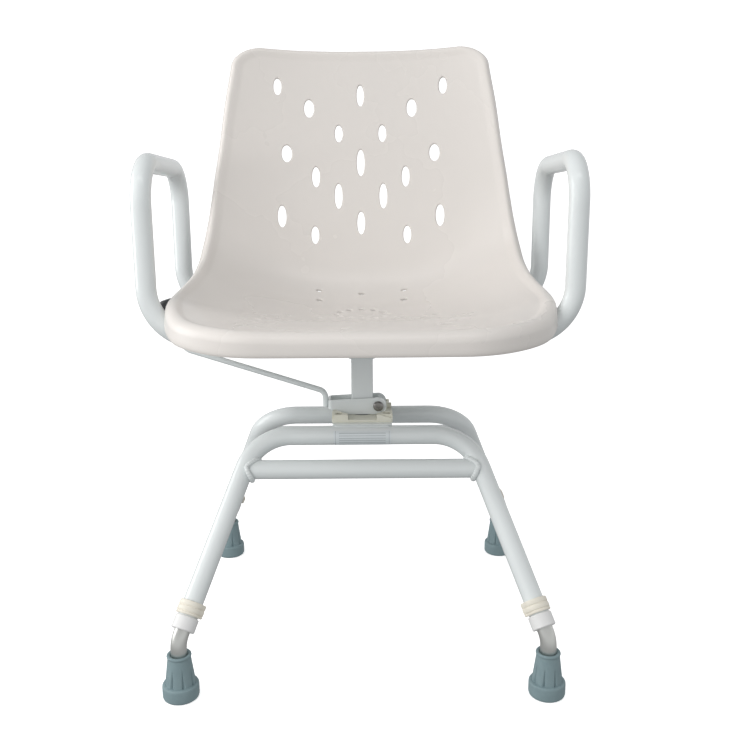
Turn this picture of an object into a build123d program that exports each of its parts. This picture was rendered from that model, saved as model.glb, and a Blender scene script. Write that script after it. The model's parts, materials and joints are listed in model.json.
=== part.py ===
from build123d import *
import math
import os

# Free-standing swivel shower chair with arms.
# Millimetres, +Z up, floor at z = 0, origin on the swivel axis; the seat faces -Y.

os.makedirs("parts", exist_ok=True)

# ---------------------------------------------------------------- driving dimensions
FRAME_TUBE_D = 25.4
TUBE_WALL = 1.5
RUNNING = 0.1               # radial running clearance of every fit
SIT_GAP = 0.2               # gap between faces that turn or slide past each other

# base: two leaning hoops, back to back
HOOP_HALF_GAP = 50.3        # hoop top to the swivel axis, along Y
HOOP_TOP_Z = 287.7          # centreline of the hoop tops
HOOP_CORNER_X = 141.7       # where top and leg centrelines would cross
HOOP_BEND_R = 64.0
LEG_TILT = 36.36            # lean of the hoop's plane from vertical, degrees
LEG_SPLAY = 17.84           # spread of a leg inside the hoop's plane, degrees
LEG_TUBE_END = 247.0        # hoop corner to the tube's end, along the leg
CROSSBAR_DROP = 47.0        # hoop top to crossbar centreline, inside the hoop's plane

# legs
COLLAR_D = 30.0
COLLAR_LENGTH = 17.0
COLLAR_SLEEVE = 5.0
LOWER_TUBE_D = 20.0
LOWER_CORNER = 277.5        # hoop corner to the lower tube's bend, along the leg
LOWER_BEND_R = 30.0
LOWER_INSERT = 120.0        # length of lower tube hidden in the leg at rest
ADJUST_PITCH = 25.0
ADJUST_HOLE_D = 6.6
ADJUST_HOLES = 4
CLIP_OFFSET = 10.0          # tube end to clip centre
CLIP_LENGTH = 17.0
CLIP_OUTER_R = 16.4
CLIP_PEG_D = 6.0
FERRULE_BASE_R = 22.7
FERRULE_BAND_H = 19.5
FERRULE_CONE_R = 18.6
FERRULE_TOP_R = 14.3
FERRULE_TOP_Z = 58.5
FERRULE_SOLE = 9.0
FLUTES = 8

# swivel bearing
SADDLE_X = 80.0
SADDLE_T = 2.5
BLOCK_SIDE = 82.0
BLOCK_FLANGE = 3.5
PAD_HEIGHT = 7.0
NOTCH_WIDTH = 39.0
PAD_CLEAR_R = 38.4          # the pads leave this circle free for the post and yoke
HUB_D = 42.0
HUB_LENGTH = 28.0
HUB_WALL = 3.0
SPINDLE_D = 18.0
WASHER_D = 36.0
WASHER_T = 1.5

# post, cross tube and rails
POST_X = 30.0
POST_Y = 20.0
POST_WALL = 2.0
SQUARE_TUBE = 25.0
CROSS_Z = 387.3             # underside of the cross tube
CROSS_LENGTH = 202.0
RAIL_X = 95.0
RAIL_FRONT = -123.0
RAIL_BACK = 133.0
PLUG_FLANGE = 3.0
PLUG_DEPTH = 14.0
BOSS_Y = 78.0
BOSS_R = 11.0
SCREW_R = 3.0
SCREW_HEAD_R = 5.5

# lock lever
YOKE_INSIDE = 24.0
YOKE_T = 3.0
YOKE_LEFT = -46.8
YOKE_END_R = 11.5
PIVOT_X = 22.0
PIVOT_Z = 318.4
BOLT_D = 8.0
BOLT_HEAD_D = 14.0
BOLT_HEAD_H = 4.4
LUG_R = 7.0
HANDLE_D = 8.0
GRIP_D = 23.0
GRIP_LENGTH = 60.0

# arms
ARM_X = 263.2
ARM_FRONT_Y = -110.0
ARM_BACK_Y = 120.0
ARM_FRONT_TOP = 648.5
ARM_BACK_TOP = 637.0
ARM_CORNER_Z = 437.0
ARM_INNER_Z = 425.0
ARM_BEND_R = 63.5
ARM_TOP_R = 50.0

# seat shell
SHELL_T = 4.0
RIM_DEPTH = 12.0
RIM_WALL = 5.0
SHELL_FRONT = -223.0
FRONT_CORNER_R = 122.0
APRON_BOTTOM = 431.0
APRON_BACK = -133.0
BACKREST_TOP = 806.0
TOP_CORNER_R = 34.0
DISH_POWER = 2.5

# Seat stations from the front edge to the backrest's top:
# centreline (y, z), rim (y, z) and half-width.
STATIONS = [
    ((-236, 458), (-236, 456), 241),
    ((-195, 459), (-190, 462), 241),
    ((-150, 456), (-150, 468), 241),
    ((-105, 452), (-108, 480), 239.5),
    ((-60, 446), (-60, 483), 240),
    ((-10, 442), (-15, 491), 234),
    ((40, 443), (22, 504), 227),
    ((80, 450), (55, 520), 223),
    ((106, 464), (76, 538), 221),
    ((122, 487), (90, 560), 218),
    ((131, 520), (101, 590), 214),
    ((138, 562), (111, 628), 209),
    ((148, 625), (121, 676), 201),
    ((158, 690), (131, 730), 193),
    ((168, 755), (140, 776), 184),
    ((177.5, 816), (147, 818), 177),
]

# Backrest holes: x offset (0 is on the centreline, others are mirrored), z, length.
BACK_HOLES = [
    (0, 741, 30), (0, 645, 38), (0, 558, 33),
    (120, 754, 23), (75, 723, 25), (32, 687, 24), (108, 659, 24), (66, 625, 29),
    (33, 597, 36), (116, 569, 31), (68, 541, 25),
]
BACK_HOLE_WIDTH = 12.0

# Drain holes of the pan: (x, y), mirrored, and a ring of them in the middle.
DRAIN_HOLES = [(57, -28), (99, -28), (61, 78), (0, 98), (62, 100)]
DRAIN_HOLE_D = 9.0
DRAIN_RING_Y = 11.0
DRAIN_RING_R = 34.0
DRAIN_RING_COUNT = 12

SIDES = {"left": -1, "right": 1}
CORNERS = {"front_left": (-1, -1), "front_right": (1, -1), "rear_left": (-1, 1), "rear_right": (1, 1)}


# ---------------------------------------------------------------- helpers
def save(node, shape):
    solids = shape.solids()
    body = solids[0] if len(solids) == 1 else Compound(children=solids)
    body.label = node
    export_step(body, f"parts/{node}.step")


def pipe(path, diameter, wall=0.0):
    """Round tube along a path of straight runs and arcs; solid rod when wall is 0."""
    start = Plane(origin=path @ 0, z_dir=path % 0)
    tube = sweep(start * Circle(diameter / 2), path=path)
    if wall:
        tube -= sweep(start * Circle(diameter / 2 - wall), path=path)
    return tube


def rod(start, end, radius):
    """Cylinder from one point to another."""
    start, end = Vector(*start), Vector(*end)
    axis = end - start
    return extrude(Plane(origin=start, z_dir=axis) * Circle(radius), axis.length)


def block(low, high):
    """Box between two corners."""
    size = [b - a for a, b in zip(low, high)]
    return Pos(*low) * Box(*size, align=(Align.MIN, Align.MIN, Align.MIN))


def leg_direction(side, end):
    splay, tilt = math.radians(LEG_SPLAY), math.radians(LEG_TILT)
    return Vector(side * math.sin(splay),
                  end * math.cos(splay) * math.sin(tilt),
                  -math.cos(splay) * math.cos(tilt))


def leg_point(side, end, distance):
    """Point on a leg's centreline, measured down from the hoop's corner."""
    corner = Vector(side * HOOP_CORNER_X, end * HOOP_HALF_GAP, HOOP_TOP_Z)
    return corner + leg_direction(side, end) * distance


def clip_direction(end):
    """The way a clip pulls off: square to the hoop's plane, away from the chair."""
    tilt = math.radians(LEG_TILT)
    return Vector(0, end * math.cos(tilt), math.sin(tilt))


def leg_plane(side, end, distance):
    """Plane across a leg, x towards the clip's pull-off side, z down the leg."""
    return Plane(origin=leg_point(side, end, distance), x_dir=clip_direction(end),
                 z_dir=leg_direction(side, end))


# ---------------------------------------------------------------- base frame
def hoop_path(end):
    points = [leg_point(-1, end, LEG_TUBE_END), leg_point(-1, end, 0),
              leg_point(1, end, 0), leg_point(1, end, LEG_TUBE_END)]
    return FilletPolyline(*points, radius=HOOP_BEND_R)


def leg_hoop(end):
    hoop = pipe(hoop_path(end), FRAME_TUBE_D, TUBE_WALL)
    for side in SIDES.values():
        across = leg_plane(side, end, LEG_TUBE_END - CLIP_OFFSET)
        hole = Plane(origin=across.origin, z_dir=across.x_dir) * Circle(CLIP_PEG_D / 2 + SIT_GAP)
        hoop -= extrude(hole, FRAME_TUBE_D)
    return hoop


def crossbar(end):
    """Straight tube between the legs, its ends coped to fit round them."""
    tilt = math.radians(LEG_TILT)
    y = end * (HOOP_HALF_GAP + CROSSBAR_DROP * math.sin(tilt))
    z = HOOP_TOP_Z - CROSSBAR_DROP * math.cos(tilt)
    reach = HOOP_CORNER_X + CROSSBAR_DROP * math.tan(math.radians(LEG_SPLAY))
    bar = pipe(Line((-reach, y, z), (reach, y, z)), FRAME_TUBE_D, TUBE_WALL)
    bar -= pipe(hoop_path(end), FRAME_TUBE_D)
    return max(bar.solids(), key=lambda s: s.volume)


HOOP_CREST_Z = HOOP_TOP_Z + FRAME_TUBE_D / 2
SADDLE_TOP_Z = HOOP_CREST_Z + SADDLE_T
FLOOR_Z = SADDLE_TOP_Z + BLOCK_FLANGE       # top face of the index block's flange
HUB_BOTTOM_Z = HOOP_CREST_Z - HUB_LENGTH


def saddle_plate():
    plate = block((-SADDLE_X / 2, -HOOP_HALF_GAP, HOOP_CREST_Z),
                  (SADDLE_X / 2, HOOP_HALF_GAP, SADDLE_TOP_Z))
    plate = fillet(plate.edges().filter_by(Axis.Z), 3)
    plate -= rod((0, 0, HOOP_CREST_Z), (0, 0, SADDLE_TOP_Z), HUB_D / 2 - HUB_WALL)
    for x, y in block_screw_places():
        plate -= rod((x, y, HOOP_CREST_Z), (x, y, SADDLE_TOP_Z), SCREW_R - SIT_GAP)
    return plate


def hub_tube():
    outer = rod((0, 0, HUB_BOTTOM_Z), (0, 0, HOOP_CREST_Z), HUB_D / 2)
    return outer - rod((0, 0, HUB_BOTTOM_Z), (0, 0, HOOP_CREST_Z), HUB_D / 2 - HUB_WALL)


def block_screw_places():
    offset = BLOCK_SIDE / 2 - 6.5
    return [(sx * offset, sy * offset) for sx in (-1, 1) for sy in (-1, 1)]


def index_pad():
    """Corner pad of the index block: a ramp that falls from the notch to the corner."""
    half, notch = BLOCK_SIDE / 2, NOTCH_WIDTH / 2
    top = FLOOR_Z + PAD_HEIGHT
    pad = block((notch, -half, FLOOR_Z), (half, -notch, top))
    outline = Polyline((notch + 3, top), (half + 1, FLOOR_Z + 1.5), (half + 1, top + 1),
                       (notch + 3, top + 1), close=True)
    ramp = Plane.XZ * make_face(outline)
    pad -= Pos(0, 3 - half, 0) * extrude(ramp, 2 * half)
    pad -= rod((0, 0, FLOOR_Z), (0, 0, top + 1), PAD_CLEAR_R)
    pocket = block((notch + 9, 6 - half, FLOOR_Z), (half - 2.5, 13.5 - half, top + 1))
    return pad - pocket


def index_block():
    """Nylon bearing block: flange, four ramped pads with a notch between each pair, sleeve."""
    half = BLOCK_SIDE / 2
    body = block((-half, -half, SADDLE_TOP_Z), (half, half, FLOOR_Z))
    body = fillet(body.edges().filter_by(Axis.Z), 2)
    body += rod((0, 0, HUB_BOTTOM_Z), (0, 0, SADDLE_TOP_Z), HUB_D / 2 - HUB_WALL - RUNNING)
    pad = index_pad()
    for quarter in range(4):
        body += Rot(0, 0, 90 * quarter) * pad
    body -= rod((0, 0, HUB_BOTTOM_Z), (0, 0, FLOOR_Z), SPINDLE_D / 2 + RUNNING)
    body -= rod((0, 0, FLOOR_Z - WASHER_T), (0, 0, FLOOR_Z), WASHER_D / 2 + RUNNING)
    for x, y in block_screw_places():
        body -= rod((x, y, SADDLE_TOP_Z), (x, y, FLOOR_Z + PAD_HEIGHT), SCREW_R + RUNNING)
    return body


def block_screws():
    """Four pan-head screws that hold the index block to the saddle plate."""
    screws = Part()
    for x, y in block_screw_places():
        shank = rod((x, y, HOOP_CREST_Z - 3), (x, y, FLOOR_Z), SCREW_R - SIT_GAP)
        head = rod((x, y, FLOOR_Z), (x, y, FLOOR_Z + 2), SCREW_R)
        screws += shank + head
    return screws


def thrust_washer():
    low, high = (0, 0, FLOOR_Z - WASHER_T), (0, 0, FLOOR_Z)
    return rod(low, high, WASHER_D / 2) - rod(low, high, SPINDLE_D / 2 + RUNNING)


def rating_label():
    """Blank foil plate bent round the front of the front hoop."""
    radius = FRAME_TUBE_D / 2
    centre = Plane(origin=(-38, -HOOP_HALF_GAP, HOOP_TOP_Z), z_dir=(1, 0, 0))
    length = 76
    ring = extrude(centre * Circle(radius + 0.3), length) - extrude(centre * Circle(radius + 0.05), length)
    keep = block((-40, -HOOP_HALF_GAP - 20, HOOP_TOP_Z - 11.5), (40, -HOOP_HALF_GAP - 4, HOOP_TOP_Z + 9))
    return ring & keep


# ---------------------------------------------------------------- adjustable legs
def leg_collar(side, end):
    """Plastic bush: a sleeve inside the leg's end and a collar below it."""
    inner_r = FRAME_TUBE_D / 2 - TUBE_WALL - RUNNING / 2
    sleeve = leg_plane(side, end, LEG_TUBE_END - COLLAR_SLEEVE) * Circle(inner_r)
    collar = leg_plane(side, end, LEG_TUBE_END) * Circle(COLLAR_D / 2)
    body = extrude(sleeve, COLLAR_SLEEVE) + chamfer(extrude(collar, COLLAR_LENGTH).edges(), 1)
    bore = leg_plane(side, end, LEG_TUBE_END - COLLAR_SLEEVE) * Circle(LOWER_TUBE_D / 2 + RUNNING)
    return body - extrude(bore, COLLAR_SLEEVE + COLLAR_LENGTH)


def leg_extension(side, end):
    """Bent lower tube that slides in the leg, with a row of height holes."""
    corner = leg_point(side, end, LOWER_CORNER)
    foot = Vector(corner.X, corner.Y, FERRULE_SOLE)
    top = leg_point(side, end, LEG_TUBE_END - LOWER_INSERT)
    tube = pipe(FilletPolyline(top, corner, foot, radius=LOWER_BEND_R), LOWER_TUBE_D, TUBE_WALL)
    for step in range(ADJUST_HOLES):
        place = LEG_TUBE_END - CLIP_OFFSET - step * ADJUST_PITCH
        across = leg_plane(side, end, place)
        hole = Plane(origin=across.origin, z_dir=across.x_dir) * Circle(ADJUST_HOLE_D / 2)
        tube -= extrude(hole, LOWER_TUBE_D)
    return tube


def foot_ferrule(side, end):
    """Rubber foot: round sole band, ledge and fluted cone."""
    sole = FERRULE_BASE_R - 2.5
    outline = Polyline((0, 0), (sole, 0), (FERRULE_BASE_R, 2.5), (FERRULE_BASE_R, FERRULE_BAND_H),
                       (FERRULE_CONE_R, FERRULE_BAND_H), (FERRULE_TOP_R, FERRULE_TOP_Z),
                       (0, FERRULE_TOP_Z), close=True)
    foot = revolve(Plane.XZ * make_face(outline), Axis.Z)
    foot -= rod((0, 0, FERRULE_SOLE), (0, 0, FERRULE_TOP_Z), LOWER_TUBE_D / 2)
    flute_top = FERRULE_BAND_H + 22
    flute = Plane.XY.offset(FERRULE_BAND_H) * Pos(FERRULE_CONE_R + 0.4, 0) * Rot(0, 0, 45) * Rectangle(2.2, 2.2)
    tip = Plane.XY.offset(flute_top) * Pos(FERRULE_TOP_R + 3.2, 0) * Rot(0, 0, 45) * Rectangle(0.4, 0.4)
    groove = loft([flute, tip])
    for index in range(FLUTES):
        foot -= Rot(0, 0, (index + 0.5) * 360 / FLUTES) * groove
    corner = leg_point(side, end, LOWER_CORNER)
    return Pos(corner.X, corner.Y, 0) * foot


def leg_clip(side, end):
    """Half-round clip with a peg that enters the leg's hole."""
    across = leg_plane(side, end, LEG_TUBE_END - CLIP_OFFSET - CLIP_LENGTH / 2)
    tube_r = FRAME_TUBE_D / 2 + RUNNING
    ring = extrude(across * Circle(CLIP_OUTER_R), CLIP_LENGTH)
    ring = fillet(ring.edges().filter_by(GeomType.CIRCLE), 1.5)
    ring -= extrude(across * Circle(tube_r), CLIP_LENGTH)
    front = across * Pos(CLIP_OUTER_R, 0) * Rectangle(2 * CLIP_OUTER_R, 3 * CLIP_OUTER_R)
    ring &= extrude(front, CLIP_LENGTH)
    middle = leg_plane(side, end, LEG_TUBE_END - CLIP_OFFSET)
    peg = Plane(origin=middle.origin, z_dir=middle.x_dir).offset(LOWER_TUBE_D / 2 + SIT_GAP)
    return ring + extrude(peg * Circle(CLIP_PEG_D / 2), tube_r + 1 - LOWER_TUBE_D / 2)


# ---------------------------------------------------------------- swivelling seat frame
POST_BOTTOM_Z = FLOOR_Z + SIT_GAP


def rounded_tube(plane, width, depth, wall, length, corner=2.0):
    outer = extrude(plane * RectangleRounded(width, depth, corner), length)
    return outer - extrude(plane * Rectangle(width - 2 * wall, depth - 2 * wall), length)


def seat_post():
    base = Plane.XY.offset(POST_BOTTOM_Z)
    return rounded_tube(base, POST_X, POST_Y, POST_WALL, CROSS_Z - POST_BOTTOM_Z)


def spindle():
    """Solid plug inside the post, turned down to a shaft with a threaded end."""
    plug = block((RUNNING / 2 + POST_WALL - POST_X / 2, RUNNING / 2 + POST_WALL - POST_Y / 2, POST_BOTTOM_Z),
                 (POST_X / 2 - POST_WALL - RUNNING / 2, POST_Y / 2 - POST_WALL - RUNNING / 2, POST_BOTTOM_Z + 24))
    shaft = rod((0, 0, HUB_BOTTOM_Z - SIT_GAP), (0, 0, POST_BOTTOM_Z), SPINDLE_D / 2)
    thread = rod((0, 0, HUB_BOTTOM_Z - 12), (0, 0, HUB_BOTTOM_Z), 6)
    return plug + shaft + thread


def spindle_washer():
    high = HUB_BOTTOM_Z - SIT_GAP
    low = high - 2
    return rod((0, 0, low), (0, 0, high), HUB_D / 2 - 4) - rod((0, 0, low), (0, 0, high), 6)


def hex_nut(plane, across_flats, height, bore_r):
    radius = across_flats / math.sqrt(3)
    return extrude(plane * RegularPolygon(radius, 6), height) - extrude(plane * Circle(bore_r), height)


def spindle_nut():
    height = 8
    return hex_nut(Plane.XY.offset(HUB_BOTTOM_Z - SIT_GAP - 2 - height), 19, height, 6)


def square_tube(low, high, along_x):
    """Square tube between two corners, open at both ends."""
    outer = block(low, high)
    inset = [0, TUBE_WALL, TUBE_WALL] if along_x else [TUBE_WALL, 0, TUBE_WALL]
    hollow = block([a + i for a, i in zip(low, inset)], [b - i for b, i in zip(high, inset)])
    return outer - hollow


def cross_tube():
    half = SQUARE_TUBE / 2
    return square_tube((-CROSS_LENGTH / 2, -half, CROSS_Z), (CROSS_LENGTH / 2, half, CROSS_Z + SQUARE_TUBE), True)


def plug():
    """End plug for a square tube, drawn along +X with its flange outside x = 0."""
    half, inner = SQUARE_TUBE / 2, SQUARE_TUBE / 2 - TUBE_WALL - RUNNING / 2
    flange = block((0, -half, -half), (PLUG_FLANGE, half, half))
    flange = fillet(flange.faces().sort_by(Axis.X)[-1].edges(), 1.5)
    return flange + block((-PLUG_DEPTH, -inner, -inner), (0, inner, inner))


def cross_tube_plugs():
    right = Pos(CROSS_LENGTH / 2, 0, CROSS_Z + SQUARE_TUBE / 2) * plug()
    return right + mirror(right, about=Plane.YZ)


RAIL_Z = CROSS_Z + SQUARE_TUBE
RAIL_TOP_Z = RAIL_Z + SQUARE_TUBE


def side_rail(side):
    half = SQUARE_TUBE / 2
    x = side * RAIL_X
    rail = square_tube((x - half, RAIL_FRONT, RAIL_Z), (x + half, RAIL_BACK, RAIL_TOP_Z), False)
    for y in (-BOSS_Y, BOSS_Y):
        rail -= rod((x, y, RAIL_Z), (x, y, RAIL_TOP_Z), SCREW_R + RUNNING)
    return rail


def rail_plugs():
    plugs = Part()
    for side in SIDES.values():
        centre = Pos(side * RAIL_X, 0, RAIL_Z + SQUARE_TUBE / 2)
        plugs += centre * Pos(0, RAIL_BACK, 0) * Rot(0, 0, 90) * plug()
        plugs += centre * Pos(0, RAIL_FRONT, 0) * Rot(0, 0, -90) * plug()
    return plugs


def arm_tube(side):
    """One bent tube: in under the seat, up, back over the top, down and in again."""
    inner_x, start_x = RAIL_X + SQUARE_TUBE / 2, RAIL_X
    points = [(side * start_x, ARM_FRONT_Y, ARM_INNER_Z), (side * ARM_X, ARM_FRONT_Y, ARM_CORNER_Z),
              (side * ARM_X, ARM_FRONT_Y, ARM_FRONT_TOP), (side * ARM_X, ARM_BACK_Y, ARM_BACK_TOP),
              (side * ARM_X, ARM_BACK_Y, ARM_CORNER_Z), (side * start_x, ARM_BACK_Y, ARM_INNER_Z)]
    path = FilletPolyline(*points, radius=[ARM_BEND_R, ARM_TOP_R, ARM_TOP_R, ARM_BEND_R])
    tube = pipe(path, FRAME_TUBE_D, TUBE_WALL)
    return tube - block((-inner_x, RAIL_FRONT - 20, RAIL_Z - 20), (inner_x, RAIL_BACK + 20, RAIL_TOP_Z + 20))


# ---------------------------------------------------------------- lock lever
PLATE_Y = YOKE_INSIDE / 2 + YOKE_T          # outer face of a yoke plate


def lock_yoke():
    """Strap bent to a U round the post; its closed end is the locking tongue."""
    low = FLOOR_Z + 0.5
    tongue = FLOOR_Z + PAD_HEIGHT + 0.5
    right = (PIVOT_X + YOKE_END_R, PIVOT_Z)
    outline = (Line((YOKE_LEFT, tongue), (YOKE_LEFT + 12, tongue))
               + Line((YOKE_LEFT + 12, tongue), (YOKE_LEFT + 13, low))
               + Line((YOKE_LEFT + 13, low), (PIVOT_X, low))
               + ThreePointArc((PIVOT_X, low), right, (PIVOT_X, PIVOT_Z + YOKE_END_R))
               + Line((PIVOT_X, PIVOT_Z + YOKE_END_R), (YOKE_LEFT, PIVOT_Z + 8))
               + Line((YOKE_LEFT, PIVOT_Z + 8), (YOKE_LEFT, tongue)))
    side_view = Plane.XZ * make_face(outline)
    body = extrude(side_view, PLATE_Y, both=True)
    strap = Pos(YOKE_LEFT, 0, 0) * Box(200, 2 * PLATE_Y, 900, align=(Align.MIN, Align.CENTER, Align.CENTER))
    strap = fillet(strap.edges().filter_by(Axis.Z).sort_by(Axis.X)[:2], 5)
    hollow = Pos(YOKE_LEFT + YOKE_T, 0, 0) * Box(200, YOKE_INSIDE, 900, align=(Align.MIN, Align.CENTER, Align.CENTER))
    hollow = fillet(hollow.edges().filter_by(Axis.Z).sort_by(Axis.X)[:2], 2)
    bore = rod((PIVOT_X, -PLATE_Y, PIVOT_Z), (PIVOT_X, PLATE_Y, PIVOT_Z), BOLT_D / 2 + RUNNING)
    return (body & strap) - hollow - bore


def pivot_lug():
    """Spacer welded to the post's side, which the lever's bolt passes through."""
    reach = YOKE_INSIDE / 2 - SIT_GAP
    ends = (PIVOT_X, -reach, PIVOT_Z), (PIVOT_X, reach, PIVOT_Z)
    return rod(*ends, LUG_R) - rod(*ends, BOLT_D / 2)


def pivot_bolt():
    """Button-head socket bolt, head at the front."""
    face = -PLATE_Y - RUNNING
    shank = rod((PIVOT_X, face, PIVOT_Z), (PIVOT_X, PLATE_Y + 9, PIVOT_Z), BOLT_D / 2)
    head = rod((PIVOT_X, face, PIVOT_Z), (PIVOT_X, face - BOLT_HEAD_H, PIVOT_Z), BOLT_HEAD_D / 2)
    head = fillet(head.edges().filter_by(GeomType.CIRCLE).sort_by(Axis.Y)[0], 3)
    socket = Plane(origin=(PIVOT_X, face - BOLT_HEAD_H, PIVOT_Z), z_dir=(0, 1, 0)) * RegularPolygon(2.9, 6)
    return shank + head - extrude(socket, 2.5)


def pivot_nut():
    plane = Plane(origin=(PIVOT_X, PLATE_Y + RUNNING, PIVOT_Z), z_dir=(0, 1, 0))
    return hex_nut(plane, 13, 7.5, BOLT_D / 2)


ROD_X = YOKE_LEFT - HANDLE_D / 2
ROD_BOTTOM_Z = FLOOR_Z + PAD_HEIGHT + 0.8
HANDLE_CORNERS = [(ROD_X, 0, ROD_BOTTOM_Z), (ROD_X, 0, 336), (-245, 9, 396), (-264.4, 10, 463)]


def handle_rod():
    return pipe(FilletPolyline(*HANDLE_CORNERS, radius=[12, 20]), HANDLE_D)


def handle_grip():
    top, below = Vector(*HANDLE_CORNERS[-1]), Vector(*HANDLE_CORNERS[-2])
    along = (top - below).normalized()
    start = Plane(origin=top - along * (GRIP_LENGTH - 2), z_dir=along)
    body = extrude(start * Circle(GRIP_D / 2), GRIP_LENGTH)
    body = fillet(body.edges().filter_by(GeomType.CIRCLE), 3)
    return body - extrude(start * Circle(HANDLE_D / 2), GRIP_LENGTH - 2)


# ---------------------------------------------------------------- seat shell
def shell_grid(inset, depth):
    """Rows of points on the seat's surface, set in from the rim and down by depth."""
    rows = []
    columns = [i / 7 for i in range(-7, 8)]
    for index, (centre, rim, half_width) in enumerate(STATIONS):
        ahead = STATIONS[min(index + 1, len(STATIONS) - 1)][0]
        behind = STATIONS[max(index - 1, 0)][0]
        along = Vector(0, ahead[0] - behind[0], ahead[1] - behind[1]).normalized()
        down = Vector(0, along.Z, -along.Y) * depth
        row = []
        for column in columns:
            x = column * (half_width - inset)
            rise = (abs(x) / half_width) ** DISH_POWER
            row.append(Vector(x, centre[0] + rise * (rim[0] - centre[0]),
                              centre[1] + rise * (rim[1] - centre[1])) + down)
        rows.append(row)
    return rows


def seat_slab(inset, depth, thickness):
    face = Face.make_surface_from_array_of_points(shell_grid(inset, depth))
    if face.normal_at(face.center()).Z > 0:
        thickness = -thickness
    return Solid.thicken(face, thickness)


def plan_outline(inset):
    """Seat seen from above: straight sides, large front corners."""
    half = 262 - inset
    front = SHELL_FRONT + inset
    radius = FRONT_CORNER_R - inset
    wide = STATIONS[3][2] - inset
    back = APRON_BACK + 50
    corner = FilletPolyline((-wide, back), (-wide, front), (wide, front), (wide, back), radius=radius)
    rest = Polyline((wide, back), (half, back + 30), (half, 400), (-half, 400), (-half, back + 30), (-wide, back))
    return make_face(corner + rest)


def front_outline(inset):
    """Backrest seen from the front: only its top edge and rounded top corners cut the shell."""
    top = BACKREST_TOP - inset
    half = STATIONS[-1][2] + 1.5 - inset
    shoulder = (half + 22, top - 110)
    corner = FilletPolyline((-shoulder[0], shoulder[1]), (-half, top), (half, top), shoulder, radius=TOP_CORNER_R)
    rest = Polyline(shoulder, (400, 700), (400, 300), (-400, 300), (-400, 700), (-shoulder[0], shoulder[1]))
    return Plane.XZ * make_face(corner + rest)


def trim(slab, inset):
    plan = Pos(0, 0, 300) * extrude(plan_outline(inset), 600)
    front = extrude(front_outline(inset), 400, both=True)
    return slab & plan & front


def apron():
    """Deep front lip, wrapped round both front corners."""
    outer = Pos(0, 0, APRON_BOTTOM) * extrude(plan_outline(0), 24)
    inner = Pos(0, 0, APRON_BOTTOM) * extrude(plan_outline(RIM_WALL), 24)
    return (outer - inner) & block((-300, -300, 400), (300, APRON_BACK, 600))


def pan_height(x, y):
    """Height of the seat surface above a point of the pan."""
    for (low, low_rim, half), (high, high_rim, _) in zip(STATIONS, STATIONS[1:]):
        if low[0] <= y <= high[0]:
            mix = (y - low[0]) / (high[0] - low[0])
            rise = (abs(x) / half) ** DISH_POWER
            centre = low[1] + mix * (high[1] - low[1])
            rim = low_rim[1] + mix * (high_rim[1] - low_rim[1])
            return centre + rise * (rim - centre)
    raise ValueError("outside the pan")


def drain_holes():
    """Cutters for the drain holes in the pan: a ring in the middle and single ones round it."""
    places = DRAIN_HOLES + [(-x, y) for x, y in DRAIN_HOLES if x]
    for index in range(DRAIN_RING_COUNT):
        angle = 2 * math.pi * index / DRAIN_RING_COUNT
        places.append((DRAIN_RING_R * math.sin(angle), DRAIN_RING_Y + DRAIN_RING_R * math.cos(angle)))
    holes = Part()
    for x, y in places:
        holes += rod((x, y, 400), (x, y, 500), DRAIN_HOLE_D / 2)
    return holes


def back_holes():
    holes = Part()
    for x, z, length in BACK_HOLES:
        for place in {x, -x}:
            oval = Plane.XZ * Pos(place, z) * Ellipse(BACK_HOLE_WIDTH / 2, length / 2)
            holes += extrude(oval, 250, both=True)
    return holes & block((-300, 90, 400), (300, 250, 900))


def seat_shell():
    """Moulded bucket seat: dished shell, turned-down rim, front apron, bosses and holes."""
    shell = trim(seat_slab(0, 0, RIM_DEPTH), 0)
    shell -= trim(seat_slab(RIM_WALL, SHELL_T, RIM_DEPTH + 20), RIM_WALL)
    shell += apron()
    for side in SIDES.values():
        for y in (-BOSS_Y, BOSS_Y):
            x = side * RAIL_X
            roof = pan_height(x, y) - 2
            shell += rod((x, y, RAIL_TOP_Z + SIT_GAP), (x, y, roof), BOSS_R)
            shell -= rod((x, y, RAIL_TOP_Z), (x, y, roof - 3), SCREW_R)
    return shell - drain_holes() - back_holes()


def seat_screws():
    """Four screws up through the rails into the seat's bosses."""
    screws = Part()
    for side in SIDES.values():
        for y in (-BOSS_Y, BOSS_Y):
            x = side * RAIL_X
            screws += rod((x, y, RAIL_Z), (x, y, RAIL_TOP_Z + 7), SCREW_R)
            screws += rod((x, y, RAIL_Z - 4), (x, y, RAIL_Z), SCREW_HEAD_R)
    return screws


# ---------------------------------------------------------------- write the parts
def main():
    save("front_leg_hoop", leg_hoop(-1))
    save("rear_leg_hoop", leg_hoop(1))
    save("front_crossbar", crossbar(-1))
    save("rear_crossbar", crossbar(1))
    save("saddle_plate", saddle_plate())
    save("hub_tube", hub_tube())
    save("index_block", index_block())
    save("block_screws", block_screws())
    save("thrust_washer", thrust_washer())
    save("rating_label", rating_label())
    for name, (side, end) in CORNERS.items():
        save(f"{name}_leg_collar", leg_collar(side, end))
        save(f"{name}_leg_extension", leg_extension(side, end))
        save(f"{name}_foot_ferrule", foot_ferrule(side, end))
        save(f"{name}_leg_clip", leg_clip(side, end))
    save("seat_post", seat_post())
    save("spindle", spindle())
    save("spindle_washer", spindle_washer())
    save("spindle_nut", spindle_nut())
    save("cross_tube", cross_tube())
    save("cross_tube_plugs", cross_tube_plugs())
    save("rail_plugs", rail_plugs())
    save("seat_shell", seat_shell())
    save("seat_screws", seat_screws())
    for name, side in SIDES.items():
        save(f"{name}_side_rail", side_rail(side))
        save(f"{name}_arm_tube", arm_tube(side))
    save("pivot_lug", pivot_lug())
    save("pivot_bolt", pivot_bolt())
    save("pivot_nut", pivot_nut())
    save("lock_yoke", lock_yoke())
    save("handle_rod", handle_rod())
    save("handle_grip", handle_grip())


main()
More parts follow.
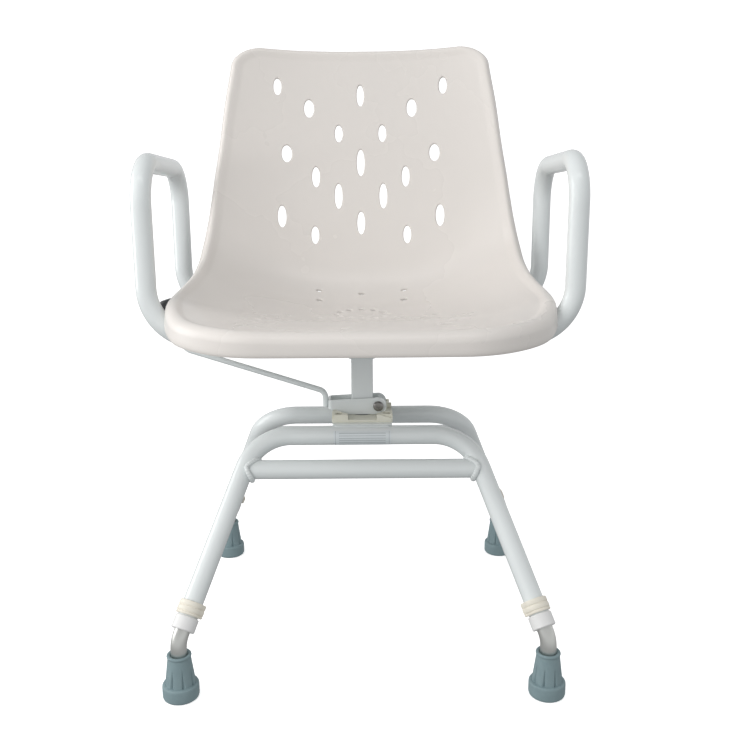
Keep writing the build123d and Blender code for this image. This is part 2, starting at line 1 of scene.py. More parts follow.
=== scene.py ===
import json
import math

import bmesh
import bpy
import numpy as np
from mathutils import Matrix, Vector


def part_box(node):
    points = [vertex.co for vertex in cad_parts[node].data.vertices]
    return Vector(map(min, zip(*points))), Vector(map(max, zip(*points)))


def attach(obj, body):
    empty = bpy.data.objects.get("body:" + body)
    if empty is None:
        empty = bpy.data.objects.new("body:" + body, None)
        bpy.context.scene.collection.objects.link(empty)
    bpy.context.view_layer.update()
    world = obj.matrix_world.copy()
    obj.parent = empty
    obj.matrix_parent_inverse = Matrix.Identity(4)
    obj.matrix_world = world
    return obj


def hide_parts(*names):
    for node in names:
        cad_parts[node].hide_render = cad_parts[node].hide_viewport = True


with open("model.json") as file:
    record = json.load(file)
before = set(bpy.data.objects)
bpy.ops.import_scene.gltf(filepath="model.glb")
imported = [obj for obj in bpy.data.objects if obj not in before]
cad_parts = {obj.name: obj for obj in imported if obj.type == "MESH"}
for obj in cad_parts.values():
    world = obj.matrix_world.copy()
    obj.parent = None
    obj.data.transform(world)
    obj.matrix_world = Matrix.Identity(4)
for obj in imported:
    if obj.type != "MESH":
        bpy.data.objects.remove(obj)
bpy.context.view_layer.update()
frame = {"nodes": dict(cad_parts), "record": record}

MM = 0.001
CORNERS = {"front_left": (-1, -1), "front_right": (1, -1), "rear_left": (-1, 1), "rear_right": (1, 1)}

# ------------------------------------------------------------- dimensions shared with the CAD, mm
TUBE_R = 12.7
LEG_TILT = math.radians(36.36)
LEG_SPLAY = math.radians(17.84)
HOOP_CORNER = (141.7, 50.3, 287.7)
CROSSBAR_DROP = 47.0
LEG_TUBE_END = 247.0
CLIP_OFFSET = 10.0
CROSS_Z = 387.3
HOLE_INSET = 0.4
DRAIN_HOLE_R = 4.2

# seat surface from front to top: middle line (y, z), outer edge (y, z), half width
STATIONS = [
    ((-236, 458), (-236, 456), 241), ((-195, 459), (-190, 462), 241), ((-150, 456), (-150, 468), 241),
    ((-105, 452), (-108, 480), 239.5), ((-60, 446), (-60, 483), 240), ((-10, 442), (-15, 491), 234),
    ((40, 443), (22, 504), 227), ((80, 450), (55, 520), 223), ((106, 464), (76, 538), 221),
    ((122, 487), (90, 560), 218), ((131, 520), (101, 590), 214), ((138, 562), (111, 628), 209),
    ((148, 625), (121, 676), 201), ((158, 690), (131, 730), 193), ((168, 755), (140, 776), 184),
    ((177.5, 816), (147, 818), 177),
]
# backrest holes: x, z and height as in the CAD, then the width, which is wider than there in three pairs
BACK_HOLES = [
    (0, 741, 30, 11), (0, 645, 38, 12), (0, 558, 33, 12), (120, 754, 23, 12), (75, 723, 25, 15),
    (32, 687, 24, 12), (108, 659, 24, 15.5), (66, 625, 29, 12), (33, 597, 36, 12), (116, 569, 31, 13),
    (68, 541, 25, 12),
]
# drain holes in the pan: x and y as in the CAD, then the half depth; rearward ones are cut as narrow slots
DRAIN_HOLES = [(57, -28, 4.2), (99, -28, 4.2), (61, 78, 3.0), (0, 98, 1.7), (62, 100, 1.7)]
DRAIN_RING_Y, DRAIN_RING_R, DRAIN_RING_COUNT = 11.0, 34.0, 12
SHELL_T = 4.0
DISH_POWER = 2.5


# ------------------------------------------------------------- materials
def material(name, colour, roughness, metallic=0.0, coat=0.0, tint=(0.97, 0.97, 0.97), tint_scale=9.0,
             grain=600.0, bump=0.05, rough_spread=0.04, stretch=(1, 1, 1), depth=0.0004):
    """Procedural finish: soft colour drift, uneven gloss and a fine surface relief."""
    mat = bpy.data.materials.new(name)
    mat.use_nodes = True
    nodes, links = mat.node_tree.nodes, mat.node_tree.links
    shader = nodes["Principled BSDF"]
    shader.inputs["Metallic"].default_value = metallic
    shader.inputs["Coat Weight"].default_value = coat
    shader.inputs["Coat Roughness"].default_value = 0.08
    place = nodes.new("ShaderNodeTexCoord")
    mapping = nodes.new("ShaderNodeMapping")
    mapping.inputs["Scale"].default_value = stretch
    links.new(place.outputs["Object"], mapping.inputs["Vector"])

    drift = nodes.new("ShaderNodeTexNoise")
    drift.inputs["Scale"].default_value = tint_scale
    drift.inputs["Detail"].default_value = 4.0
    links.new(place.outputs["Object"], drift.inputs["Vector"])
    mix = nodes.new("ShaderNodeMix")
    mix.data_type = "RGBA"
    mix.inputs["A"].default_value = (*colour, 1)
    mix.inputs["B"].default_value = (*[c * t for c, t in zip(colour, tint)], 1)
    links.new(drift.outputs["Fac"], mix.inputs["Factor"])
    links.new(mix.outputs["Result"], shader.inputs["Base Color"])

    fine = nodes.new("ShaderNodeTexNoise")
    fine.inputs["Scale"].default_value = grain
    fine.inputs["Detail"].default_value = 3.0
    links.new(mapping.outputs["Vector"], fine.inputs["Vector"])
    spread = nodes.new("ShaderNodeMapRange")
    spread.inputs["To Min"].default_value = max(0.0, roughness - rough_spread)
    spread.inputs["To Max"].default_value = roughness + rough_spread
    links.new(drift.outputs["Fac"], spread.inputs["Value"])
    links.new(spread.outputs["Result"], shader.inputs["Roughness"])
    relief = nodes.new("ShaderNodeBump")
    relief.inputs["Strength"].default_value = bump
    relief.inputs["Distance"].default_value = depth
    links.new(fine.outputs["Fac"], relief.inputs["Height"])
    links.new(relief.outputs["Normal"], shader.inputs["Normal"])
    return mat


def foil_material():
    """Satin foil plate with a printed frame and plain ruled lines."""
    mat = material("foil_label", (0.74, 0.785, 0.80), 0.32, metallic=0.15, grain=900, bump=0.08,
                   stretch=(0.05, 1, 1), tint=(0.92, 0.93, 0.94), tint_scale=30)
    nodes, links = mat.node_tree.nodes, mat.node_tree.links
    shader = nodes["Principled BSDF"]
    base = next(n for n in nodes if n.type == "MIX")
    place = next(n for n in nodes if n.type == "TEX_COORD")
    parts = nodes.new("ShaderNodeSeparateXYZ")
    links.new(place.outputs["Object"], parts.inputs["Vector"])

    def math_node(kind, a, b):
        node = nodes.new("ShaderNodeMath")
        node.operation = kind
        for socket, value in zip(node.inputs, (a, b)):
            if isinstance(value, (int, float)):
                socket.default_value = value
            else:
                links.new(value, socket)
        return node.outputs[0]

    across = math_node("ABSOLUTE", parts.outputs["X"], 0)
    rule_wave = math_node("FRACT", math_node("MULTIPLY", parts.outputs["Z"], 310.0), 0)
    rule = math_node("LESS_THAN", rule_wave, 0.26)
    inside = math_node("LESS_THAN", across, 0.031)
    lines = math_node("MULTIPLY", rule, inside)
    band = math_node("MULTIPLY", math_node("GREATER_THAN", across, 0.0355),
                     math_node("LESS_THAN", across, 0.0361))
    ink = math_node("MAXIMUM", lines, band)
    over = nodes.new("ShaderNodeMix")
    over.data_type = "RGBA"
    over.inputs["B"].default_value = (0.22, 0.25, 0.27, 1)
    links.new(base.outputs["Result"], over.inputs["A"])
    links.new(math_node("MULTIPLY", ink, 0.55), over.inputs["Factor"])
    links.new(over.outputs["Result"], shader.inputs["Base Color"])
    return mat


MATERIALS = {
    "white_powder_coat": material("white_powder_coat", (0.755, 0.79, 0.795), 0.30, coat=0.9, grain=420,
                                  bump=0.10, tint=(0.965, 0.975, 0.97), tint_scale=14),
    "white_shell": material("white_shell", (0.765, 0.73, 0.698), 0.27, coat=0.0, grain=30, bump=0.02,
                            depth=0.002, tint=(0.965, 0.96, 0.955), tint_scale=5, rough_spread=0.05),
    "cream_plastic": material("cream_plastic", (0.80, 0.795, 0.70), 0.42, grain=1500, bump=0.10,
                              tint=(0.90, 0.89, 0.86), tint_scale=60),
    "cream_clip": material("cream_clip", (0.83, 0.795, 0.71), 0.38, grain=1500, bump=0.08,
                           tint=(0.95, 0.94, 0.91), tint_scale=70),
    "white_collar": material("white_collar", (0.80, 0.80, 0.80), 0.34, grain=1200, bump=0.06,
                             tint=(0.96, 0.96, 0.95), tint_scale=60),
    "satin_tube": material("satin_tube", (0.78, 0.79, 0.765), 0.36, metallic=1.0, grain=2600, bump=0.12,
                           stretch=(1, 1, 0.06), tint=(0.86, 0.85, 0.84), tint_scale=40),
    "grey_rubber": material("grey_rubber", (0.185, 0.262, 0.285), 0.55, grain=2200, bump=0.28,
                            tint=(1.30, 1.25, 1.22), tint_scale=85, rough_spread=0.08),
    "black_plastic": material("black_plastic", (0.018, 0.019, 0.020), 0.38, grain=1500, bump=0.12,
                              tint=(1.6, 1.6, 1.6), tint_scale=50),
    "stainless": material("stainless", (0.34, 0.33, 0.32), 0.30, metallic=1.0, grain=2400, bump=0.10,
                          tint=(0.80, 0.79, 0.78), tint_scale=160),
    "foil_label": foil_material(),
}

for row in frame["record"]["subparts"]:
    node = frame["nodes"][row["node"]]
    node.data.materials.clear()
    node.data.materials.append(MATERIALS[row["material_slot"]])


# broken edges on sheet metal, machined and moulded parts
EDGES = {"index_block": 0.5, "seat_post": 0.5, "cross_tube_plugs": 0.5, "cross_tube": 0.5, "rail_plugs": 0.5,
         "left_side_rail": 0.5, "right_side_rail": 0.5, "saddle_plate": 0.5, "pivot_nut": 0.4}
for edge_node, edge_width in EDGES.items():
    node = frame["nodes"][edge_node]
    join = node.modifiers.new("join", "WELD")
    join.merge_threshold = 1e-6
    edge = node.modifiers.new("edge", "BEVEL")
    edge.width = edge_width * MM
    edge.segments = 2
    edge.limit_method = "ANGLE"
    edge.angle_limit = math.radians(40)
    edge.harden_normals = True


# ------------------------------------------------------------- mesh helpers
def piece(name, vertices, faces, slot, body, replaces=(), sharp=math.radians(38)):
    """Mesh piece from millimetre points, smooth except at sharp edges."""
    mesh = bpy.data.meshes.new(name)
    mesh.from_pydata([[c * MM for c in v] for v in vertices], [], faces)
    obj = bpy.data.objects.new(name, mesh)
    bpy.context.scene.collection.objects.link(obj)
    bm = bmesh.new()
    bm.from_mesh(mesh)
    bmesh.ops.remove_doubles(bm, verts=bm.verts, dist=1e-7)
    bmesh.ops.recalc_face_normals(bm, faces=bm.faces)
    bm.to_mesh(mesh)
    bm.free()
    smooth(obj, sharp)
    mesh.materials.append(MATERIALS[slot])
    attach(obj, body)
    if replaces:
        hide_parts(*replaces)
    return obj


def smooth(obj, sharp):
    mesh = obj.data
    mesh.polygons.foreach_set("use_smooth", [True] * len(mesh.polygons))
    mesh.set_sharp_from_angle(angle=sharp)


def grid_faces(rows, columns, close_rows=False, close_columns=False):
    faces = []
    for i in range(rows if close_rows else rows - 1):
        for j in range(columns if close_columns else columns - 1):
            a, b = i, (i + 1) % rows
            c, d = j, (j + 1) % columns
            faces.append((a * columns + c, b * columns + c, b * columns + d, a * columns + d))
    return faces


def bead(name, loop, radius, body, slot="white_powder_coat", ripple=0.16, pitch=2.6, sides=12):
    """Weld bead: a lumpy round rope along a closed loop of points."""
    points = resample([np.array(p, float) for p in loop] + [np.array(loop[0], float)], 0.7)[:-1]
    count = len(points)
    vertices = []
    for i, p in enumerate(points):
        tangent = points[(i + 1) % count] - points[i - 1]
        tangent /= np.linalg.norm(tangent)
        side = np.cross(tangent, (0.31, 0.52, 0.79))
        side /= np.linalg.norm(side)
        up = np.cross(tangent, side)
        travel = i * 0.7 / pitch
        swell = radius * (1 + ripple * (abs(math.sin(math.pi * travel)) - 0.5)
                          + 0.5 * ripple * math.sin(0.37 * travel + 1.3))
        for k in range(sides):
            angle = 2 * math.pi * k / sides
            vertices.append(p + swell * (math.cos(angle) * side + math.sin(angle) * up))
    return piece(name, vertices, grid_faces(count, sides, True, True), slot, body, sharp=math.pi)


def resample(points, step):
    """Points spaced evenly along a polyline, close to step apart."""
    points = np.array(points, float)
    lengths = np.concatenate([[0], np.cumsum(np.linalg.norm(np.diff(points, axis=0), axis=1))])
    count = max(2, int(round(lengths[-1] / step)) + 1)
    wanted = np.linspace(0, lengths[-1], count)
    return [np.array([np.interp(w, lengths, points[:, k]) for k in range(points.shape[1])]) for w in wanted]


# ------------------------------------------------------------- seat shell
class Curve:
    """Smooth curve through values at given distances."""

    def __init__(self, places, values):
        self.places = np.array(places, float)
        self.values = np.array(values, float)
        self.slopes = np.gradient(self.values, self.places, axis=0)

    def at(self, place):
        i = int(np.clip(np.searchsorted(self.places, place) - 1, 0, len(self.places) - 2))
        span = self.places[i + 1] - self.places[i]
        t = (place - self.places[i]) / span
        a, b = self.values[i], self.values[i + 1]
        ma, mb = self.slopes[i] * span, self.slopes[i + 1] * span
        return ((2 * t**3 - 3 * t**2 + 1) * a + (t**3 - 2 * t**2 + t) * ma
                + (3 * t**2 - 2 * t**3) * b + (t**3 - t**2) * mb)


centres = np.array([s[0] for s in STATIONS], float)
travel = np.concatenate([[0], np.cumsum(np.linalg.norm(np.diff(centres, axis=0), axis=1))])
station_curve = Curve(travel, [[*c, *r, h] for c, r, h in STATIONS])


def seat_point(s, x):
    """Point of the seat's upper surface: s along the middle from the front, x across."""
    cy, cz, ry, rz, half = station_curve.at(s)
    rise = (abs(x) / half) ** DISH_POWER
    return np.array([x, cy + rise * (ry - cy), cz + rise * (rz - cz)])


def seat_normal(s, x):
    along = seat_point(s + 0.5, x) - seat_point(s - 0.5, x)
    across = seat_point(s, x + 0.5) - seat_point(s, x - 0.5)
    normal = np.cross(across, along)
    return normal / np.linalg.norm(normal)


def half_width(s):
    return station_curve.at(s)[4]


# axes that a place on the seat is looked up by: y on the pan, z on the backrest
DEEP, UP = 1, 2


def seat_place(x, axis, value):
    """Distance s where the surface at x reaches a given y (DEEP) or z (UP)."""
    low, high = (0.0, 400.0) if axis == DEEP else (300.0, travel[-1] + 8)
    for _ in range(40):
        middle = (low + high) / 2
        if seat_point(middle, x)[axis] < value:
            low = middle
        else:
            high = middle
    return (low + high) / 2


FRONT_S = 13.0
TOP_S = seat_place(0, UP, 804.5)
FRONT_R, TOP_R = 122.0, 44.0


def shell_outline():
    """Seat's outer edge in (s, x), split into front, right, top and left runs at the corners' middles."""
    def arc(cs, cx, radius, start, stop, count=40):
        angles = np.radians(np.linspace(start, stop, count))
        return [np.array([cs + radius * math.sin(a), cx + radius * math.cos(a)]) for a in angles]

    front_x = half_width(FRONT_S + FRONT_R) - FRONT_R
    taper = math.atan2(half_width(TOP_S - 90) - half_width(TOP_S - 30), 60)
    top_s = TOP_S - TOP_R
    tangent_s = top_s + TOP_R * math.sin(taper)
    top_x = half_width(tangent_s) - TOP_R * math.cos(taper)
    right_front = arc(FRONT_S + FRONT_R, front_x, FRONT_R, -90, 0)
    right_top = arc(top_s, top_x, TOP_R, math.degrees(taper), 90)
    side = [np.array([s, half_width(s)]) for s in np.linspace(FRONT_S + FRONT_R + 4, tangent_s - 3, 90)]
    flip = np.array([1, -1])
    half = 20
    right = right_front[half:] + side + right_top[:half + 1]
    top = right_top[half:] + [p * flip for p in right_top[half:][::-1]]
    left = [p * flip for p in right]
    front = [p * flip for p in right_front[:half + 1][::-1]] + right_front[:half + 1]
    return front, right, top, left


def ease(low, high, value):
    t = min(1.0, max(0.0, (value - low) / (high - low)))
    return t * t * (3 - 2 * t)


GRID_A, GRID_B = 84, 132
front, right, top, left = shell_outline()
front = resample(front, 1)
right, top, left = resample(right, 1), resample(top, 1), resample(left, 1)


def pick(run, count):
    run = np.array(run)
    places = np.linspace(0, len(run) - 1, count)
    return np.array([[np.interp(p, range(len(run)), run[:, k]) for k in (0, 1)] for p in places])


F, T = pick(front, GRID_A), pick(top, GRID_A)[::-1]
R, L = pick(right, GRID_B), pick(left, GRID_B)
ring = np.concatenate([F[:-1], R[:-1], T[::-1][:-1], L[::-1][:-1]])


FRONT_ROLL, BACK_ROLL = 13.0, 5.5
FRONT_FLANGE, BACK_FLANGE = 28.0, 12.0
RIM_SWELL = 2.4


def ring_insets():
    """Roll radius, flange depth and rim swell for each point of the outer ring."""
    values = []
    for s, x in ring:
        roll = FRONT_ROLL + (BACK_ROLL - FRONT_ROLL) * ease(70, 190, s)
        depth = FRONT_FLANGE + (BACK_FLANGE - FRONT_FLANGE) * ease(95, 200, s)
        corner = ease(60, 190, abs(x)) if s < 150 else 1.0
        swell = RIM_SWELL * corner * (1 - 0.5 * ease(300, 420, s))
        values.append((roll, depth, swell))
    return values


ring_values = ring_insets()
count = len(ring)
inward = []
for i in range(count):
    tangent = ring[(i + 1) % count] - ring[i - 1]
    normal = np.array([-tangent[1], tangent[0]])
    inward.append(normal / np.linalg.norm(normal))
middle = np.array([300.0, 0.0])
if np.dot(inward[0], middle - ring[0]) < 0:
    inward = [-n for n in inward]

# the rim stays inside this half width ahead of the arms' front uprights
ARM_GAP_X, ARM_GAP_Y = 239.3, -88
RIM_BLEND = 11.0
INNER_STEPS = [RIM_BLEND * k / 7 for k in range(7, 0, -1)]
ROLL_STEPS = [math.radians(a) for a in (0, 12, 24, 36, 48, 60, 72, 82, 90)]

inner_ring = np.array([ring[i] + inward[i] * (ring_values[i][0] + RIM_BLEND) for i in range(count)])
nf, nr = GRID_A - 1, GRID_B - 1
FI = inner_ring[:nf + 1]
RI = inner_ring[nf:nf + nr + 1]
TI = inner_ring[nf + nr:2 * nf + nr + 1][::-1]
LI = np.concatenate([inner_ring[2 * nf + nr:], inner_ring[:1]])[::-1]


def shell_mesh():
    vertices, index = [], {}
    for i in range(GRID_B):
        b = i / (GRID_B - 1)
        for j in range(GRID_A):
            a = j / (GRID_A - 1)
            place = ((1 - b) * FI[j] + b * TI[j] + (1 - a) * LI[i] + a * RI[i]
                     - (1 - a) * (1 - b) * FI[0] - a * (1 - b) * FI[-1]
                     - (1 - a) * b * TI[0] - a * b * TI[-1])
            index[i, j] = len(vertices)
            vertices.append(seat_point(*place))
    faces = [(index[i, j], index[i, j + 1], index[i + 1, j + 1], index[i + 1, j])
             for i in range(GRID_B - 1) for j in range(GRID_A - 1)]
    border = ([index[0, j] for j in range(GRID_A - 1)] + [index[i, GRID_A - 1] for i in range(GRID_B - 1)]
              + [index[GRID_B - 1, j] for j in range(GRID_A - 1, 0, -1)]
              + [index[i, 0] for i in range(GRID_B - 1, 0, -1)])

    rings = [border]
    for step in INNER_STEPS[1:]:
        rings.append(range(len(vertices), len(vertices) + count))
        for i in range(count):
            roll, _, swell = ring_values[i]
            place = ring[i] + inward[i] * (roll + step)
            lift = swell * (1 - math.cos(math.pi * (1 - step / RIM_BLEND))) / 2
            vertices.append(seat_point(*place) + seat_normal(*place) * lift)
    frames = []
    for i in range(count):
        roll, depth, swell = ring_values[i]
        place = ring[i] + inward[i] * roll
        normal = seat_normal(*place)
        out = seat_point(*ring[i]) - seat_point(*place)
        out -= normal * np.dot(out, normal)
        out /= np.linalg.norm(out)
        frames.append((seat_point(*place) + normal * swell, out, normal, roll, depth + swell))
    profile = [(math.sin(a), 1 - math.cos(a), 0.0) for a in ROLL_STEPS]
    profile += [(1.0 + 0.03 * t, 1.0, t) for t in (0.2, 0.45, 0.7)]
    profile += [(0.97, 1.0, 0.87), (0.88, 1.0, 0.97), (0.74, 1.0, 1.0)]
    for across, drop, fall in profile:
        rings.append(range(len(vertices), len(vertices) + count))
        for origin, out, normal, roll, depth in frames:
            p = origin + out * roll * across - normal * (roll * drop + (depth - roll) * fall)
            limit = ARM_GAP_X + max(0.0, (p[1] - ARM_GAP_Y) * 0.5)
            p[0] = math.copysign(min(abs(p[0]), limit), p[0])
            vertices.append(p)
    for low, high in zip(rings, rings[1:]):
        for i in range(count):
            faces.append((low[i], low[(i + 1) % count], high[(i + 1) % count], high[i]))
    return vertices, faces


def hole_cutter(places, normals, outline_offsets):
    """Closed cutter through the shell whose mouth flares out to round the hole's rim."""
    profile = [(4.0, 1.7), (0.3, 1.7), (-0.15, 1.1), (-0.5, 0.62), (-1.0, 0.25), (-1.7, 0.0), (-16.0, 0.0)]
    size = len(outline_offsets(0.0))
    vertices = []
    for height, grow in profile:
        for x, second in outline_offsets(grow):
            p, n = places(x, second), normals(x, second)
            vertices.append(p + n * height)
    rows = len(profile)
    faces = grid_faces(rows, size, False, True)
    faces.append(tuple(range(size)))
    faces.append(tuple(range((rows - 1) * size, rows * size))[::-1])
    return vertices, faces


def oval(x, z, half_x, half_z, count=44):
    def offsets(grow):
        angles = [2 * math.pi * k / count for k in range(count)]
        return [(x + (half_x + grow) * math.cos(a), z + (half_z + grow) * math.sin(a)) for a in angles]
    return offsets


def build_cutters():
    vertices, faces = [], []

    def add(offsets, axis):
        v, f = hole_cutter(lambda x, c: seat_point(seat_place(x, axis, c), x),
                           lambda x, c: seat_normal(seat_place(x, axis, c), x), offsets)
        base = len(vertices)
        vertices.extend(v)
        faces.extend(tuple(i + base for i in face) for face in f)

    for x, z, length, width in BACK_HOLES:
        for place in sorted({x, -x}):
            add(oval(place, z, width / 2 - HOLE_INSET, length / 2), UP)
    for k in range(DRAIN_RING_COUNT):
        turn = 2 * math.pi * k / DRAIN_RING_COUNT
        x, y = DRAIN_RING_R * math.sin(turn), DRAIN_RING_Y + DRAIN_RING_R * math.cos(turn)
        add(oval(x, y, DRAIN_HOLE_R, DRAIN_HOLE_R, 28), DEEP)
    for x, y, half in DRAIN_HOLES:
        for place in sorted({x, -x}):
            add(oval(place, y, DRAIN_HOLE_R, half, 28), DEEP)
    mesh = bpy.data.meshes.new("cutters")
    mesh.from_pydata([[c * MM for c in v] for v in vertices], [], faces)
    bm = bmesh.new()
    bm.from_mesh(mesh)
    bmesh.ops.recalc_face_normals(bm, faces=bm.faces)
    bm.to_mesh(mesh)
    bm.free()
    obj = bpy.data.objects.new("cutters", mesh)
    bpy.context.scene.collection.objects.link(obj)
    return obj


def apply_modifiers(obj):
    graph = bpy.context.evaluated_depsgraph_get()
    made = bpy.data.meshes.new_from_object(obj.evaluated_get(graph))
    obj.modifiers.clear()
    obj.data = made


def build_shell():
    vertices, faces = shell_mesh()
    shell = piece("seat_shell_moulding", vertices, faces, "white_shell", "seat", ["seat_shell"])
    up = sum(p.normal.z * p.area for p in shell.data.polygons)
    if up < 0:
        shell.data.flip_normals()
    thick = shell.modifiers.new("thick", "SOLIDIFY")
    thick.thickness = SHELL_T * MM
    thick.offset = -1
    thick.use_even_offset = False
    apply_modifiers(shell)
    cutters = build_cutters()
    cut = shell.modifiers.new("cut", "BOOLEAN")
    cut.object = cutters
    cut.operation = "DIFFERENCE"
    cut.solver = "EXACT"
    apply_modifiers(shell)
    bpy.data.objects.remove(cutters)
    smooth(shell, math.radians(34))
    weight = shell.modifiers.new("normals", "WEIGHTED_NORMAL")
    weight.keep_sharp = True
    weight.weight = 60
    apply_modifiers(shell)


build_shell()


# ------------------------------------------------------------- bosses under the seat
BOSS_X, BOSS_Y, BOSS_LOW = 95, 78, 437.6
BOSS_SIDES = 40


def boss_pieces():
    """Screw bosses, their tops shaped to the underside of the pan."""
    profile = [(3.4, BOSS_LOW + 8), (3.4, BOSS_LOW), (10.2, BOSS_LOW), (11, BOSS_LOW + 0.8),
               (11, 441), (11, 446), (12.2, 449), (14, 480)]
    for side, name in ((-1, "left"), (1, "right")):
        for y, end in ((-BOSS_Y, "front"), (BOSS_Y, "rear")):
            x = side * BOSS_X
            vertices = []
            for radius, z in profile:
                for k in range(BOSS_SIDES):
                    px, py = x + radius * math.cos(k * math.pi / 20), y + radius * math.sin(k * math.pi / 20)
                    under = seat_point(seat_place(px, DEEP, py), px)[2] - 2.0
                    vertices.append((px, py, min(z, under if z > 441 else under - 2)))
            faces = grid_faces(len(profile), BOSS_SIDES, False, True)
            piece(f"boss_{name}_{end}", vertices, faces, "white_shell", "seat")


def turn_piece(name, centre, profile, slot_name, body, sides=64, replaces=(), wobble=None):
    """Turned piece about a vertical axis; wobble changes the radius with height and angle."""
    vertices = []
    for radius, z in profile:
        for k in range(sides):
            angle = 2 * math.pi * k / sides
            r = radius if wobble is None else radius - wobble(z, angle, radius)
            vertices.append((centre[0] + r * math.cos(angle), centre[1] + r * math.sin(angle), centre[2] + z))
    faces = grid_faces(len(profile), sides, False, True)
    piece(name, vertices, faces, slot_name, body, replaces)


boss_pieces()


# ------------------------------------------------------------- feet
FLUTES = 8
FOOT_BAND_R = 22.6
LEDGE_Z, FLUTE_TOP_Z = 19.4, 43
CONE_LOW_R, CONE_LOW_Z = 18.7, 19.6
CONE_TOP_R, CONE_TOP_Z = 14.1, 55


def flute_depth(z, angle, radius):
    """V grooves that widen and deepen towards the ledge."""
    if not LEDGE_Z < z < FLUTE_TOP_Z or radius < 13:
        return 0.0
    share = 1 - (z - LEDGE_Z) / (FLUTE_TOP_Z - LEDGE_Z)
    step = 2 * math.pi / FLUTES
    away = abs(angle % step - step / 2) * radius
    half = 2.6 * share ** 0.8
    return max(0.0, 1 - away / half) * 2.4 * share ** 0.7 if half > 0.05 else 0.0


def ferrule(name):
    low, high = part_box(f"{name}_foot_ferrule")
    centre = ((low.x + high.x) / 2 / MM, (low.y + high.y) / 2 / MM, 0)
    band = FOOT_BAND_R
    sole = [(0.01, 0.6), (14, 0.6), (14.6, 0.1), (19.0, 0.0), (20.6, 0.4), (21.8, 1.4), (band - 0.2, 3.0),
            (band, 5.0), (band, 16.0), (band - 0.2, 17.6), (band - 0.8, 18.7), (band - 1.7, 19.2),
            (20.2, LEDGE_Z)]
    taper = (CONE_TOP_R - CONE_LOW_R) / (CONE_TOP_Z - CONE_LOW_Z)
    cone = [(CONE_LOW_R, CONE_LOW_Z)]
    cone += [(CONE_LOW_R + taper * (z - CONE_LOW_Z), z) for z in np.linspace(20.4, 54.0, 34)]
    rim = [(14.3, 54.6), (14.9, 55.2), (15.2, 56.3), (15.0, 57.5), (14.3, 58.3), (13.2, 58.5), (12.0, 58.3),
           (10.9, 57.6), (10.25, 56.4), (10.05, 54.0), (10.05, 40.0)]
    turn_piece(f"{name}_rubber_foot", centre, sole + cone + rim, "grey_rubber", f"{name}_leg",
               sides=192, replaces=[f"{name}_foot_ferrule"], wobble=flute_depth)


for corner_name in CORNERS:
    ferrule(corner_name)


# ------------------------------------------------------------- leg clips
def leg_frame(side, end, distance):
    """Origin on the leg's axis and its pull-off, sideways and downward directions."""
    down = np.array([side * math.sin(LEG_SPLAY), end * math.cos(LEG_SPLAY) * math.sin(LEG_TILT),
                     -math.cos(LEG_SPLAY) * math.cos(LEG_TILT)])
    out = np.array([0, end * math.cos(LEG_TILT), math.sin(LEG_TILT)])
    corner = np.array([side * HOOP_CORNER[0], end * HOOP_CORNER[1], HOOP_CORNER[2]])
    return corner + down * distance, out, np.cross(down, out), down


CLIP_INNER_R = 12.85
CLIP_HALF_TURN = 94
PEG_SIDES = 24
# ribbed band in section: radius, distance along the leg
CLIP_SECTION = [
    (CLIP_INNER_R, -8.5), (14.9, -8.5), (15.9, -8.0), (16.2, -7.0), (16.2, -2.6), (15.9, -2.2), (15.5, -2.0),
    (15.45, -1.6), (16.1, -1.2), (16.3, -0.8), (16.3, 4.4), (16.0, 4.8), (15.3, 5.0), (15.3, 5.5),
    (16.0, 5.8), (16.2, 6.3), (16.1, 7.6), (15.3, 8.5), (CLIP_INNER_R, 8.5),
]


def leg_clip(name, side, end):
    origin, out, across, down = leg_frame(side, end, LEG_TUBE_END - CLIP_OFFSET)
    inner = -1 if np.dot(across, (side, 0, 0)) > 0 else 1
    vertices = []
    turns = np.linspace(-CLIP_HALF_TURN, CLIP_HALF_TURN, 95)
    for turn in turns:
        left_over = (CLIP_HALF_TURN - abs(turn)) / 7.0
        round_off = math.sqrt(max(0.0, 1 - (1 - min(1.0, left_over)) ** 2))
        flare = 2.0 * ease(68, 90, turn * inner)
        for radius, along in CLIP_SECTION:
            reach = CLIP_INNER_R + (radius - CLIP_INNER_R) * max(0.08, round_off) + flare
            width = along * (0.72 + 0.28 * round_off)
            angle = math.radians(turn)
            vertices.append(origin + out * reach * math.cos(angle) + across * reach * math.sin(angle)
                            + down * width)
    size = len(CLIP_SECTION)
    faces = grid_faces(len(turns), size, False, True)
    faces.append(tuple(range(size)))
    faces.append(tuple(range((len(turns) - 1) * size, len(turns) * size))[::-1])
    base, peg = len(vertices), PEG_SIDES
    for reach, radius in ((10.3, 2.4), (10.8, 3.0), (13.4, 3.0)):
        for k in range(peg):
            a = 2 * math.pi * k / peg
            vertices.append(origin + out * reach + across * radius * math.cos(a)
                            + down * radius * math.sin(a))
    faces += [tuple(i + base for i in f) for f in grid_faces(3, peg, False, True)]
    faces.append(tuple(range(base, base + peg)))
    faces.append(tuple(range(base + 2 * peg, base + 3 * peg))[::-1])
    piece(f"{name}_spring_clip", vertices, faces, "cream_clip", f"{name}_clip", [f"{name}_leg_clip"])


for corner_name, (side, end) in CORNERS.items():
    leg_clip(corner_name, side, end)


# ------------------------------------------------------------- weld beads
# how far a bead stays off the sharp corner where two equal tubes meet
BEAD_ROUNDING = 4.0
BEAD_OFFSET, BEAD_LIFT, BEAD_STEPS = 1.4, 1.0, 120


